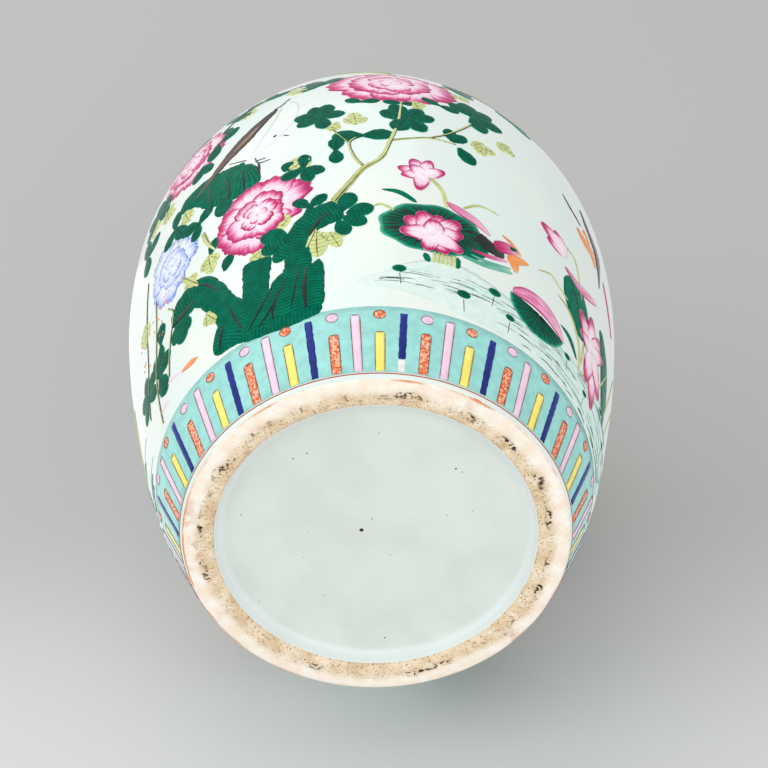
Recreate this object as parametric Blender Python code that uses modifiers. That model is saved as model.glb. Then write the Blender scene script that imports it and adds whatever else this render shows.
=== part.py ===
"""Ginger jar: a turned porcelain body on a foot ring, and the cap cover that lifts off its neck.

Metres, +Z up, origin at the centre of the plane the foot ring stands on. Both pieces are turned
about Z. The cover's object has its origin on its joint's axis, at the ledge it rests on.
"""

import math

import bpy
from mathutils import Vector

MM = 0.001
SEGMENTS = 64

# The body. The wall is (radius, height) where the shape changes, from the foot to the shoulder.
WALL = ((92, 0), (109.5, 46), (119.7, 92), (127.4, 138), (131.4, 184),
        (128.5, 230), (113.5, 276), (97, 299.5), (70, 314))
WALL_STEPS = 3
WALL_THICKNESS = 7
FOOT_EDGE = 1.5
FOOT_INNER_RADIUS = 77
RECESS_CORNER = (75, 6)
RECESS_ROOF_RADIUS = 72
RECESS_DEPTH = 8
FLOOR_HEIGHT = 18
FLOOR_FLAT_RADIUS = 40
FLOOR_CORNER = 16
FLOOR_CORNER_START = -90
FLOOR_CORNER_END = -15
WALL_CLEARANCE = 1

# The shoulder's unglazed ledge, and the upright neck inside it.
LEDGE_HEIGHT = 315
LEDGE_RADIUS = 68
SHOULDER_THICKNESS = 14
NECK_RADIUS = 57
NECK_THICKNESS = 6
NECK_TOP = 340
NECK_ROOT = ((60, 305), (51, 312))
LIP_ROUND = 2.5

# The cap cover, which stands on the ledge round the neck. Its dome is (radius, height) from the
# middle out to the round shoulder, which turns down into the skirt.
TOUCHING_GAP = 0.3
COVER_FOOT = LEDGE_HEIGHT + TOUCHING_GAP
COVER_RIM_RADIUS = 66.5
COVER_THICKNESS = 6
COVER_DOME = ((0, 368), (26, 366.5), (44, 363.4))
COVER_ROUND_CENTRE = (56, 348)
COVER_ROUND = 9
COVER_ROUND_START = 72
COVER_DOME_UNDERSIDE = ((28, 360.4), (0, 362))
COVER_INNER_ROUND_CENTRE = (54, 348)
COVER_INNER_ROUND = 5
COVER_INNER_ROUND_END = 75

GLAZE_COLOUR = (0.80, 0.86, 0.81, 1.0)
COVER_COLOUR = (0.42, 0.72, 0.66, 1.0)


def clear_scene():
    """Start from nothing, whatever the file held."""
    for thing in list(bpy.data.objects):
        bpy.data.objects.remove(thing)


def smooth_curve(points, steps):
    """Points along a Catmull-Rom curve through the given (radius, height) points."""
    knots = [Vector(point) for point in points]
    knots = [knots[0] * 2 - knots[1]] + knots + [knots[-1] * 2 - knots[-2]]
    curve = []
    for before, start, end, after in zip(knots, knots[1:], knots[2:], knots[3:]):
        for step in range(steps):
            t = step / steps
            pull_start = (end - before) / 2
            pull_end = (after - start) / 2
            curve.append(start * (2 * t**3 - 3 * t**2 + 1) + pull_start * (t**3 - 2 * t**2 + t)
                         + end * (3 * t**2 - 2 * t**3) + pull_end * (t**3 - t**2))
    curve.append(knots[-2].copy())
    return curve


def arc(centre_radius, centre_height, radius, start_degrees, end_degrees, steps):
    """Points on an arc in the (radius, height) plane, angles counted up from the radius axis."""
    points = []
    for step in range(steps + 1):
        angle = math.radians(start_degrees + (end_degrees - start_degrees) * step / steps)
        points.append(Vector((centre_radius + radius * math.cos(angle),
                              centre_height + radius * math.sin(angle))))
    return points


def inner_wall(outer):
    """The inside of the wall: each outer point moved in by the wall's thickness."""
    inside = []
    for before, point, after in zip(outer, outer[1:], outer[2:]):
        along = (after - before).normalized()
        inward = Vector((-along.y, along.x))
        inside.append(point + inward * WALL_THICKNESS)
    return inside


def body_outline():
    """Half the body's section, from the middle of its floor, over the lip, to under its base."""
    outer = smooth_curve(WALL, WALL_STEPS)
    inside = [point for point in inner_wall(outer)
              if FLOOR_HEIGHT + FLOOR_CORNER < point.y < LEDGE_HEIGHT - SHOULDER_THICKNESS]
    corner_radius = inside[0].x - FLOOR_CORNER - WALL_CLEARANCE
    inner_lip_radius = NECK_RADIUS - NECK_THICKNESS + LIP_ROUND

    outline = [Vector((0, FLOOR_HEIGHT)), Vector((FLOOR_FLAT_RADIUS, FLOOR_HEIGHT))]
    outline += arc(corner_radius, FLOOR_HEIGHT + FLOOR_CORNER, FLOOR_CORNER,
                   FLOOR_CORNER_START, FLOOR_CORNER_END, 4)
    outline += inside
    outline += [Vector(point) for point in NECK_ROOT]
    outline += arc(inner_lip_radius, NECK_TOP - LIP_ROUND, LIP_ROUND, 180, 90, 2)
    outline += arc(NECK_RADIUS - LIP_ROUND, NECK_TOP - LIP_ROUND, LIP_ROUND, 90, 0, 2)
    outline += [Vector((NECK_RADIUS, LEDGE_HEIGHT)), Vector((LEDGE_RADIUS, LEDGE_HEIGHT))]
    outline += reversed([point for point in outer if point.y > FOOT_EDGE])
    outline += [Vector((WALL[0][0] - FOOT_EDGE, 0)), Vector((FOOT_INNER_RADIUS + FOOT_EDGE, 0)),
                Vector((FOOT_INNER_RADIUS, FOOT_EDGE)), Vector(RECESS_CORNER),
                Vector((RECESS_ROOF_RADIUS, RECESS_DEPTH)), Vector((0, RECESS_DEPTH))]
    return outline


def cover_outline():
    """Half the cover's section, from the top of its dome, round the rim, to under the dome."""
    outline = [Vector(point) for point in COVER_DOME]
    outline += arc(*COVER_ROUND_CENTRE, COVER_ROUND, COVER_ROUND_START, 0, 4)
    outline += [Vector((COVER_RIM_RADIUS, COVER_FOOT)),
                Vector((COVER_RIM_RADIUS - COVER_THICKNESS, COVER_FOOT))]
    outline += arc(*COVER_INNER_ROUND_CENTRE, COVER_INNER_ROUND, 0, COVER_INNER_ROUND_END, 3)
    outline += [Vector(point) for point in COVER_DOME_UNDERSIDE]
    return outline


def porcelain(name, colour):
    """A glazed white-bodied ceramic."""
    material = bpy.data.materials.new(name)
    material.use_nodes = True
    shader = material.node_tree.nodes["Principled BSDF"]
    shader.inputs["Base Color"].default_value = colour
    shader.inputs["Roughness"].default_value = 0.15
    shader.inputs["Metallic"].default_value = 0.0
    return material


def turned(name, outline, base_height, material, collection):
    """Turn an outline about Z into a closed solid whose origin is on the axis at base_height."""
    points = [(point.x * MM, 0.0, (point.y - base_height) * MM) for point in outline]
    edges = [(index, index + 1) for index in range(len(points) - 1)]
    mesh = bpy.data.meshes.new(name)
    mesh.from_pydata(points, edges, [])
    mesh.materials.append(material)

    part = bpy.data.objects.new(name, mesh)
    part.location.z = base_height * MM
    collection.objects.link(part)

    turn = part.modifiers.new("turn", "SCREW")
    turn.axis = "Z"
    turn.angle = math.tau
    turn.steps = SEGMENTS
    turn.render_steps = SEGMENTS
    turn.use_merge_vertices = True
    turn.merge_threshold = 0.00001
    turn.use_smooth_shade = True
    return part


def build():
    clear_scene()
    jar = bpy.data.collections.new("ginger_jar")
    bpy.context.scene.collection.children.link(jar)
    turned("jar_body", body_outline(), 0, porcelain("body_glaze", GLAZE_COLOUR), jar)
    turned("cap_cover", cover_outline(), COVER_FOOT, porcelain("cover_glaze", COVER_COLOUR), jar)


build()
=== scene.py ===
"""The ginger jar's looks: glazed porcelain, an unglazed foot ring, and overglaze enamels.

Lengths are in millimetres and angles in degrees unless a name says otherwise. An angle runs round
the jar from its front, which faces -Y, and grows towards +X. Every enamel is real relief, a few
tenths of a millimetre of coloured glass on the skin of the body or the cover. A colour is
(red, green, blue) as it looks on a screen, 0 to 255.
"""

import math
import random
from collections import namedtuple

import bpy
import numpy as np
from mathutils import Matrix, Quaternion, Vector


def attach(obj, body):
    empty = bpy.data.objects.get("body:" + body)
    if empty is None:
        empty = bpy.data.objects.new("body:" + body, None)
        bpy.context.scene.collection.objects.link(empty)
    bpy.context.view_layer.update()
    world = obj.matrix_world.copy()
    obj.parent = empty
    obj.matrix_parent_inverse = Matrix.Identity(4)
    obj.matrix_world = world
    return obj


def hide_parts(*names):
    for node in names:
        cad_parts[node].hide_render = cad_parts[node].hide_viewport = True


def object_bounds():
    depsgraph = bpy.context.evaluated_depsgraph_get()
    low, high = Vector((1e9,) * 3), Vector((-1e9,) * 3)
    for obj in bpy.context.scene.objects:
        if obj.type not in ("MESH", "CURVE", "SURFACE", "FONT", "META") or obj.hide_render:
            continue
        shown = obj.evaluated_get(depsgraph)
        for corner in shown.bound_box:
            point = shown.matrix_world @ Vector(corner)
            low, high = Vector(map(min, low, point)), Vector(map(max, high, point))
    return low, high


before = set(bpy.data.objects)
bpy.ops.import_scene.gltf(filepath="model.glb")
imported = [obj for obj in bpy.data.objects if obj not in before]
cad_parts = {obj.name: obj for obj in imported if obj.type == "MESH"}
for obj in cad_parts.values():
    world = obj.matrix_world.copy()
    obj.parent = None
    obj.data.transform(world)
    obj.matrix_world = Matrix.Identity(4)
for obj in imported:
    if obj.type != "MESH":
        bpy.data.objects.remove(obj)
cad_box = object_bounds()

MM = 0.001
TURN_STEPS = 192
SKIN_STEPS = 12
OUTLINE_STEPS = 8

# The body's wall as (radius, height), from the foot to the shoulder, and its other driving sizes.
WALL = ((92, 0), (109.5, 46), (119.7, 92), (127.4, 138), (131.4, 184),
        (128.5, 230), (113.5, 276), (97, 299.5), (70, 314))
WALL_THICKNESS = 7
WALL_CLEARANCE = 1
FLOOR_HEIGHT = 18
FLOOR_FLAT_RADIUS = 40
FLOOR_CORNER = 16
SHOULDER_THICKNESS = 14
LEDGE_HEIGHT = 315
LEDGE_RADIUS = 68
NECK_RADIUS = 57
NECK_INNER = 51
NECK_TOP = 340
NECK_ROOT = ((60, 305), (54.5, 308.5), (51.6, 312.5), (51, 316))
LIP_ROUND = 2.5
LIP_BASE = NECK_TOP - LIP_ROUND
LEDGE_FILLET = 1.5
FOOT_TOP = 1.2
UNDERSIDE = ((92.2, FOOT_TOP), (78, FOOT_TOP), (76.9, 3.2), (75.4, 6.6), (72.6, 8.4), (0, 8.4))

# Under the glazed body: the bare foot ring, and the glazed recess inside it.
FOOT_RING = ((92.45, 1.6), (92.3, 1.15), (91.8, 0.7), (91, 0.4), (89.8, 0.2), (88.2, 0.05), (87, 0),
             (86, 0), (85, 0), (84, 0), (83, 0), (82, 0), (80.8, 0.05), (79.4, 0.25), (78.2, 0.7),
             (77.4, 1.4), (76.9, 2.2), (76.6, 3), (78.4, 3.1), (91, 2))
RECESS = ((0, 8.7), (72.8, 8.7), (75.8, 6.8), (77.3, 3.2), (77.2, 1.9), (76.75, 1.9), (76.5, 2.8),
          (75.9, 4.4), (75, 6), (73.6, 7.3), (71.6, 7.9), (69, 8.05), (55, 8), (40, 7.9), (20, 7.8),
          (0, 7.75))

# The cap cover's outside, from its rim to the middle of its dome, its rim and its inside.
COVER_OUTSIDE = ((66.5, 315.3), (65.9, 330), (65, 348), (63.6, 353), (58.8, 356.6),
                 (44, 363.3), (26, 366.5), (0, 368))
COVER_RIM = ((66.4, 315.5), (66.1, 315.3), (60.8, 315.3))
COVER_INSIDE = ((0, 362), (28, 360.4), (54, 352.8), (58.6, 350), (59, 348), (60.5, 315.3))

# Where the porcelain is bare: (from height, to height, inside radius).
BARE_LEDGE = (313.9, 345, 69.5)
BARE_COVER_RIM = (300, 316.2, 200)

# The border bands, from low height to high: the foot's, one under the ledge, and the cover's.
# The red line runs under the foot's.
RED_LINE_HEIGHT = 3.7
RED_LINE_HALF_WIDTH = 0.24
FOOT_BAND = (4.4, 39)
SHOULDER_BAND = (301, 313.6)
COVER_BAND = (317, 330)

# How far enamel stands off the glaze, and how deep its underside goes below its face. A stroke
# is never narrower to either side than its least half width.
ENAMEL = 0.22
ENAMEL_THICKNESS = 0.35
LEAST_HALF_WIDTH = 0.04
MERGE_METRES = 0.00001
BODY_SLOT = "body_glaze"
COVER_SLOT = "cover_glaze"
ENAMEL_SLOT = "overglaze_enamel"


# ------------------------------------------------------------------ outlines and skins

def smooth_curve(points, steps):
    """Points along a Catmull-Rom curve through the given points."""
    knots = np.array(points, float)
    knots = np.vstack([knots[0] * 2 - knots[1], knots, knots[-1] * 2 - knots[-2]])
    before, start, end, after = (knots[first:len(knots) - 3 + first, None] for first in range(4))
    t = np.arange(steps)[:, None] / steps
    curve = (start * (2 * t**3 - 3 * t**2 + 1) + (end - before) / 2 * (t**3 - 2 * t**2 + t)
             + end * (3 * t**2 - 2 * t**3) + (after - start) / 2 * (t**3 - t**2))
    return np.vstack([curve.reshape(-1, knots.shape[1]), knots[-2]])


def arc(centre_radius, centre_height, radius, start, end, steps):
    """Points on an arc in the (radius, height) plane."""
    angles = np.radians(np.linspace(start, end, steps + 1))
    across, up = radius * np.cos(angles), radius * np.sin(angles)
    return np.stack([centre_radius + across, centre_height + up], 1)


class Skin:
    """The outside of a turned piece, measured by angle and by the distance run up its side."""

    def __init__(self, outline):
        self.radius, self.height = np.array(outline, float).T
        steps = np.hypot(np.diff(self.radius), np.diff(self.height))
        self.run = np.concatenate([[0.0], np.cumsum(steps)])

    def run_at(self, height):
        return float(np.interp(height, self.height, self.run))

    def height_at(self, run):
        return float(np.interp(run, self.run, self.height))

    def radius_at(self, height):
        return float(np.interp(height, self.height, self.radius))

    def place(self, angle, run, lift):
        """Points on the skin, or lift above it, in metres."""
        radius, height = (np.interp(run, self.run, side) for side in (self.radius, self.height))
        spread, rise = (np.interp(run + 1, self.run, side) - np.interp(run - 1, self.run, side)
                        for side in (self.radius, self.height))
        length = np.maximum(np.hypot(rise, spread), 1e-6)
        radius = radius + lift * rise / length
        height = height - lift * spread / length
        angle = np.radians(angle)
        return np.stack([radius * np.sin(angle), -radius * np.cos(angle), height], -1) * MM


class Dome(Skin):
    """A nearly flat skin, measured across and back from the axis; facing is 1 up or -1 down."""

    def __init__(self, outline, facing=1):
        super().__init__(outline)
        self.facing = facing

    def run_at(self, height):
        return height

    def height_at(self, run):
        return run

    def radius_at(self, height):
        return math.degrees(1)

    def place(self, angle, run, lift):
        height = np.interp(np.hypot(angle, run), self.radius, self.height) + lift * self.facing
        return np.stack(np.broadcast_arrays(angle, run, height), -1) * MM


BODY = Skin(smooth_curve(WALL, SKIN_STEPS))
COVER = Skin(smooth_curve(COVER_OUTSIDE, SKIN_STEPS))
COVER_DOME = Dome(smooth_curve(COVER_OUTSIDE[2:], SKIN_STEPS)[::-1])
FOOT_BASE = Dome(((0, 7.75), (69, 8.05)), -1)

# Where paintings go: their names' prefix, their turn about the axis, first seed, skin and body.
Site = namedtuple("Site", "prefix turn seed skin body", defaults=(0, 0, BODY, "jar"))


# ------------------------------------------------------------------ materials

WHITE_GLAZE = (229, 238, 231)
SEPIA = (112, 96, 48)
GREEN = (0, 124, 94)
GREEN_DEEP = (0, 94, 72)
GREEN_EDGE = (96, 190, 160)


def screen(red, green, blue):
    """A screen's colour in the linear values that a shader takes."""
    values = [channel / 255 for channel in (red, green, blue)]
    return [v / 12.92 if v <= 0.04045 else ((v + 0.055) / 1.055) ** 2.4 for v in values] + [1.0]


class Finish:
    """A material being made: a Principled shader and the nodes that feed it."""

    def __init__(self, name, roughness=0.2, shine=0.32):
        self.material = bpy.data.materials.new(name)
        self.material.use_nodes = True
        self.tree = self.material.node_tree
        self.shader = self.tree.nodes["Principled BSDF"]
        self.shader.inputs["Roughness"].default_value = roughness
        self.shader.inputs["Specular IOR Level"].default_value = shine
        self.place = self.node("TexCoord", {}, "Object")

    def feed(self, socket, value):
        """Link a node's output to a socket, or set a number or a colour on it."""
        if isinstance(value, bpy.types.NodeSocket):
            self.tree.links.new(value, socket)
        else:
            socket.default_value = screen(*value) if isinstance(value, tuple) else value

    def node(self, kind, inputs, output=0, **settings):
        """One output of a new node with these settings, and inputs by number or name."""
        node = self.tree.nodes.new("ShaderNode" + kind)
        for name, value in settings.items():
            setattr(node, name, value)
        for name, value in inputs.items():
            self.feed(node.inputs[name], value)
        return node.outputs[output]

    def mark(self, name):
        """A number painted on the mesh's points."""
        return self.node("Attribute", {}, "Fac", attribute_name=name)

    def maths(self, operation, first, second=0.0, clamp=False):
        return self.node("Math", {0: first, 1: second}, operation=operation, use_clamp=clamp)

    def plus(self, first, second):
        return self.maths("ADD", first, second)

    def minus(self, first, second):
        return self.maths("SUBTRACT", first, second)

    def times(self, product, *others):
        for other in others:
            product = self.maths("MULTIPLY", product, other)
        return product

    def fit(self, value, low, high, to_low=0.0, to_high=1.0):
        """Value from low..high to to_low..to_high, smoothly."""
        limits = {"From Min": low, "From Max": high, "To Min": to_low, "To Max": to_high}
        return self.node("MapRange", {"Value": value, **limits}, interpolation_type="SMOOTHSTEP")

    def noise(self, size, detail=3.0, vector=None, distortion=0.0):
        """Soft noise from 0 to 1 whose blotches are about size millimetres, or units of vector."""
        scale = 1000.0 / size if vector is None else 1.0 / size
        return self.node("TexNoise", {"Vector": vector or self.place, "Scale": scale, "Detail": detail,
                                      "Distortion": distortion}, "Fac")

    def patches(self, size, low, high, detail=3.0, distortion=0.0):
        """Noise turned into patches: 0 where it is below low, 1 where it is above high."""
        return self.fit(self.noise(size, detail, distortion=distortion), low, high)

    def wander(self, size, reach):
        """Noise about zero, reach from end to end."""
        return self.times(self.minus(self.noise(size), 0.5), reach)

    def specks(self, size, inner, outer):
        """Scattered dots about size millimetres apart, fading from inner to outer shares of it."""
        cells = self.node("TexVoronoi", {"Vector": self.place, "Scale": 1000.0 / size}, "Distance")
        return self.fit(cells, inner, outer, 1.0, 0.0)

    def blend(self, amount, first, second):
        return self.node("Mix", {0: amount, 6: first, 7: second}, 2, data_type="RGBA")

    def ramp(self, value, stops):
        """A colour from stops of position: colour."""
        node = self.tree.nodes.new("ShaderNodeValToRGB")
        self.feed(node.inputs[0], value)
        elements = node.color_ramp.elements
        while len(elements) < len(stops):
            elements.new(0.5)
        for element, (position, colour) in zip(elements, stops.items()):
            element.position = position
            element.color = screen(*colour)
        return node.outputs[0]

    def radius_and_height(self):
        """Distance from the jar's axis, and height."""
        x, y, z = (self.node("SeparateXYZ", {0: self.place}, axis) for axis in range(3))
        x, y, z = (self.times(value, 1000.0) for value in (x, y, z))
        return self.maths("SQRT", self.plus(self.times(x, x), self.times(y, y))), z

    def done(self, colour, roughness=None, height=None, depth=0.0):
        """Feed the shader; the bump's height is 0 to 1 and its full depth is in millimetres."""
        self.feed(self.shader.inputs["Base Color"], colour)
        if roughness is not None:
            self.feed(self.shader.inputs["Roughness"], roughness)
        if height is not None:
            bump = self.node("Bump", {"Distance": depth * MM, "Height": height})
            self.feed(self.shader.inputs["Normal"], bump)
        return self.material


def glaze(name, bare):
    """Clear greenish glaze over white porcelain; bare clay between two heights inside a radius."""
    coat = Finish(name)
    pits = coat.times(coat.specks(5.5, 0.0, 0.055), coat.patches(30, 0.55, 0.66))
    red, green, blue, _ = screen(*WHITE_GLAZE)
    warm = [red * 1.03, green * 0.995, blue * 0.985, 1.0]
    cool = [red * 0.955, green * 0.985, blue * 0.99, 1.0]
    colour = coat.blend(coat.patches(70, 0.35, 0.65, 2.0), cool, warm)
    colour = coat.blend(coat.times(pits, 0.55), colour, SEPIA)
    radius, height = coat.radius_and_height()
    height = coat.plus(height, coat.wander(6, 1.2))
    bare_from, bare_to, bare_inside = bare
    bare = coat.times(coat.fit(height, bare_from - 0.2, bare_from + 0.2),
                      coat.fit(height, bare_to - 0.2, bare_to + 0.2, 1.0, 0.0),
                      coat.fit(radius, bare_inside - 0.3, bare_inside + 0.3, 1.0, 0.0))
    clay = coat.blend(coat.fit(coat.noise(5, 6.0), 0.5, 0.8, 0.0, 0.4), (238, 222, 200), (150, 112, 72))
    rough = coat.plus(coat.fit(coat.noise(9), 0.3, 0.7, 0.09, 0.15), coat.times(bare, 0.6))
    surface = coat.minus(coat.noise(16, 2.0), coat.times(pits, 0.6))
    return coat.done(coat.blend(bare, colour, clay), rough, surface, 0.12)


def base_glaze():
    """The thinner glaze in the foot's recess: greyer, pitted, with a painted highlight in the corner."""
    coat = Finish("base_glaze")
    radius, height = coat.radius_and_height()
    colour = coat.blend(coat.patches(26, 0.3, 0.7, 4.0), (212, 220, 211), (220, 227, 219))
    # Painted highlight: the glaze is painted paler towards the corner of the recess.
    colour = coat.blend(coat.times(coat.fit(radius, 71.5, 75.0), 0.6), colour, (236, 244, 244))
    ragged_height = coat.plus(height, coat.times(coat.noise(3.5), 2.2))
    bare = coat.fit(ragged_height, 2.5, 3.3, 1.0, 0.0)
    colour = coat.blend(bare, colour, (240, 228, 212))
    pits = coat.times(coat.specks(11.0, 0.03, 0.05), coat.patches(15, 0.5, 0.54))
    colour = coat.blend(coat.times(pits, 0.85), colour, (92, 88, 70))
    surface = coat.minus(coat.noise(14), coat.times(pits, 0.8))
    return coat.done(colour, coat.plus(coat.times(bare, 0.5), 0.14), surface, 0.14)


def biscuit():
    """Bare fired clay: pale at its outer edge, darker inwards, freckled, with kiln grit in it."""
    coat = Finish("foot_biscuit", 0.75, 0.3)
    radius, _ = coat.radius_and_height()
    place = coat.plus(radius, coat.wander(26, 9.0))
    inner = coat.fit(place, 82.0, 88.0, 1.0, 0.0)
    mottle = coat.patches(8, 0.3, 0.7, 5.0)
    outer_clay = coat.blend(mottle, (254, 246, 234), (248, 230, 208))
    inner_clay = coat.blend(mottle, (244, 228, 200), (220, 192, 152))
    colour = coat.blend(inner, outer_clay, inner_clay)
    freckles = coat.times(coat.patches(1.1, 0.55, 0.67), inner, 0.75)
    colour = coat.blend(freckles, colour, (158, 116, 74))
    rust = coat.times(coat.patches(9, 0.52, 0.68, 4.0), coat.patches(38, 0.5, 0.64, 2.0), 0.6)
    colour = coat.blend(rust, colour, (196, 140, 92))

    grit_lane = coat.fit(coat.maths("ABSOLUTE", coat.minus(place, 83.5)), 0.7, 2.4, 1.0, 0.0)
    lumps = coat.patches(2.4, 0.5, 0.57, 4.0, distortion=0.6)
    grit = coat.times(lumps, coat.times(grit_lane, coat.patches(19, 0.48, 0.58, 2.0)))
    loose_grit = coat.times(coat.specks(3.4, 0.0, 0.1), coat.patches(6, 0.52, 0.6))
    grit = coat.maths("MAXIMUM", grit, loose_grit)
    colour = coat.blend(grit, colour, (42, 32, 26))
    iron_edge = coat.times(coat.fit(radius, 90.9, 91.7), coat.patches(40, 0.46, 0.6))
    colour = coat.blend(iron_edge, colour, (226, 142, 92))
    surface = coat.plus(coat.noise(1.2, 5.0), coat.times(grit, 0.9))
    return coat.done(colour, height=surface, depth=0.35)


def enamel(name, stops, streak=0.0, streaks_across=5.0, veins=None, mottle=0.35, shine=0.18):
    """Painted enamel. Stops colour the tone mark, and streaks and drawn veins follow the brush.

    Veins are (colour, waves, slant, thinness, wobble, strength of the middle rib).
    """
    coat = Finish(name, shine=shine)
    tone, across, along = (coat.mark(mark) for mark in ("tone", "across", "along"))
    if streak:
        brush = coat.node("CombineXYZ", {0: coat.times(across, streaks_across),
                                         1: coat.times(along, 0.09), 2: coat.mark("number")})
        hairs = coat.minus(coat.noise(1.0, 4.0, brush), 0.5)
        tone = coat.maths("ADD", tone, coat.times(hairs, streak), clamp=True)
    cloud = coat.fit(coat.noise(4.5, 4.0), 0.25, 0.75, 1.0 - mottle * 0.45, 1.0 + mottle * 0.3)
    colour = coat.node("HueSaturation", {"Color": coat.ramp(tone, stops), "Value": cloud})
    if veins:
        vein_colour, waves, slant, thinness, wobble, rib_strength = veins
        side = coat.maths("ABSOLUTE", across)
        phase = coat.plus(coat.plus(coat.times(along, waves), coat.times(side, slant)),
                          coat.times(coat.noise(5.0, 2.0), wobble))
        drawn = coat.fit(coat.maths("SINE", phase), thinness, thinness + 0.14)
        drawn = coat.times(drawn, coat.fit(side, 0.78, 0.92, 1.0, 0.0), 0.85)
        drawn = coat.maths("MAXIMUM", drawn, coat.fit(side, 0.05, 0.11, rib_strength, 0.0))
        broken = coat.fit(coat.noise(2.2), 0.38, 0.5, 0.45, 1.0)
        colour = coat.blend(coat.times(drawn, broken), colour, vein_colour)
    return coat.done(colour, coat.fit(coat.noise(3.0), 0.3, 0.7, 0.12, 0.26), coat.noise(1.8), 0.05)


def stippled():
    """Coral dabs over a pale ground."""
    coat = Finish("coral_stipple", 0.25)
    colour = coat.blend(coat.patches(1.3, 0.44, 0.52, 4.0), (238, 186, 150), (228, 96, 48))
    colour = coat.blend(coat.patches(1.0, 0.62, 0.68), colour, (252, 238, 226))
    return coat.done(colour, height=coat.noise(0.9), depth=0.12)


LEAF_VEINS = ((4, 52, 42), 1.9, 2.6, 0.88, 4.0, 0.7)
ROCK_HATCHING = ((6, 52, 44), 3.2, 1.4, 0.68, 3.5, 0.0)
PALE_LEAF_VEINS = (SEPIA, 2.2, 2.4, 0.84, 1.2, 1.0)

PAINT = {
    "turquoise": enamel("turquoise_ground", {0: (132, 204, 197), 0.5: (154, 215, 208),
                                             1: (170, 225, 218)}, 0.5, 2.0, mottle=0.25),
    "cobalt": enamel("cobalt_bars", {0: (64, 84, 176), 0.45: (36, 52, 140), 1: (18, 26, 92)}, 0.7,
                     mottle=0.5),
    "coral": stippled(),
    "pink": enamel("pink_bars", {0: (250, 224, 238), 1: (243, 200, 224)}, 0.8, mottle=0.2),
    "yellow": enamel("yellow_bars", {0: (255, 243, 150), 1: (250, 228, 92)}, 0.9, mottle=0.2),
    "outline": enamel("brown_outline", {0: (176, 118, 84), 1: (120, 66, 46)}, 1.0),
    "red": enamel("iron_red_line", {0: (206, 96, 66), 1: (168, 58, 40)}, 0.5),
    "white": enamel("bare_patch", {0: (233, 240, 233), 1: (236, 236, 232)}, 0.4),
    "rose": enamel("rose_petals", {0: (250, 234, 240), 0.3: (246, 208, 224), 0.5: (224, 116, 164),
                                   0.72: (190, 42, 104), 1: (176, 26, 92)},
                   0.62, 5.5, mottle=0.2, shine=0.1),
    "blue": enamel("blue_petals", {0: (236, 240, 250), 0.42: (210, 220, 246), 0.74: (142, 166, 232),
                                   1: (62, 88, 196)}, 0.9, 8.0, mottle=0.25),
    "coral_petals": enamel("coral_petals", {0: (250, 214, 190), 0.5: (242, 158, 108),
                                            1: (233, 112, 62)}, 0.8, 7.0, mottle=0.25),
    "leaf": enamel("leaf_green", {0: GREEN_EDGE, 0.35: GREEN, 1: GREEN_DEEP}, 0.6, veins=LEAF_VEINS,
                   mottle=0.5, shine=0.02),
    "rock": enamel("rock_green", {0: GREEN_EDGE, 0.3: (0, 120, 90), 1: (0, 98, 74)}, 0.45,
                   veins=ROCK_HATCHING, mottle=0.5, shine=0.02),
    "pad": enamel("lotus_pad_green", {0: GREEN_EDGE, 0.4: GREEN, 1: GREEN_DEEP}, mottle=0.5,
                  shine=0.02),
    "pale": enamel("pale_leaf", {0: (228, 234, 184), 1: (200, 212, 138)}, 0.5,
                   veins=PALE_LEAF_VEINS, mottle=0.3),
    "stem": enamel("stem_green", {0: (222, 228, 168), 0.7: (196, 204, 128), 1: (140, 132, 72)}, 0.7),
    "ink": enamel("brush_ink", {0: (86, 92, 84), 0.6: (26, 36, 34), 1: (16, 22, 22)}, 0.8),
    "ripple": enamel("ripple_grey", {0: (120, 146, 136), 1: (34, 50, 46)}, 0.9),
    "wash": enamel("water_wash", {0: (228, 240, 232), 0.5: (214, 236, 227), 1: (190, 228, 216)},
                   1.0, 2.6, mottle=0.15),
    "brown": enamel("bird_brown", {0: (168, 132, 96), 0.4: (104, 74, 56), 0.75: (66, 46, 40),
                                   1: (36, 32, 34)}, 1.6, 4.0),
    "feather": enamel("white_feather", {0: WHITE_GLAZE, 1: (232, 234, 228)}, 0.4, mottle=0.1),
    "orange": enamel("orange_enamel", {0: (250, 190, 120), 1: (238, 128, 60)}, 0.9),
    "rust": enamel("rust_spot", {0: (150, 120, 90), 0.5: (96, 64, 44), 1: (60, 40, 30)}, mottle=0.9),
    "teal": enamel("teal_enamel", {0: (150, 214, 190), 1: (46, 150, 128)}, 0.9),
}


# ------------------------------------------------------------------ turned pieces

def placed(name, data):
    """A new object in the scene."""
    thing = bpy.data.objects.new(name, data)
    bpy.context.scene.collection.objects.link(thing)
    return thing


def keep(piece, body, slot, *replaced):
    """Every piece rides on its body and may stand for a CAD node, which is hidden; its slot is not used.
    """
    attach(piece, body)
    if replaced:
        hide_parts(*replaced)


def turned(name, outline, material, closed=False):
    """Turn an outline of (radius, height) about the axis; a closed one ends where it starts."""
    points = [(radius * MM, 0.0, height * MM) for radius, height in outline]
    edges = [(index, index + 1) for index in range(len(points) - 1)]
    if closed:
        edges.append((len(points) - 1, 0))
    mesh = bpy.data.meshes.new(name)
    mesh.from_pydata(points, edges, [])
    mesh.materials.append(material)
    piece = placed(name, mesh)
    turn = piece.modifiers.new("turn", "SCREW")
    turn.angle = math.tau
    turn.steps = TURN_STEPS
    turn.render_steps = TURN_STEPS
    turn.use_merge_vertices = True
    turn.merge_threshold = MERGE_METRES
    turn.use_smooth_shade = True
    return piece


def roughen(piece, size, depth):
    """Push the surface in by noise, never out, so that it stays in its place."""
    texture = bpy.data.textures.new(piece.name + "_lumps", "CLOUDS")
    texture.noise_scale = size * MM
    texture.noise_depth = 3
    push = piece.modifiers.new("lumps", "DISPLACE")
    push.texture = texture
    push.mid_level = 1.0
    push.strength = depth * MM


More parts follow.
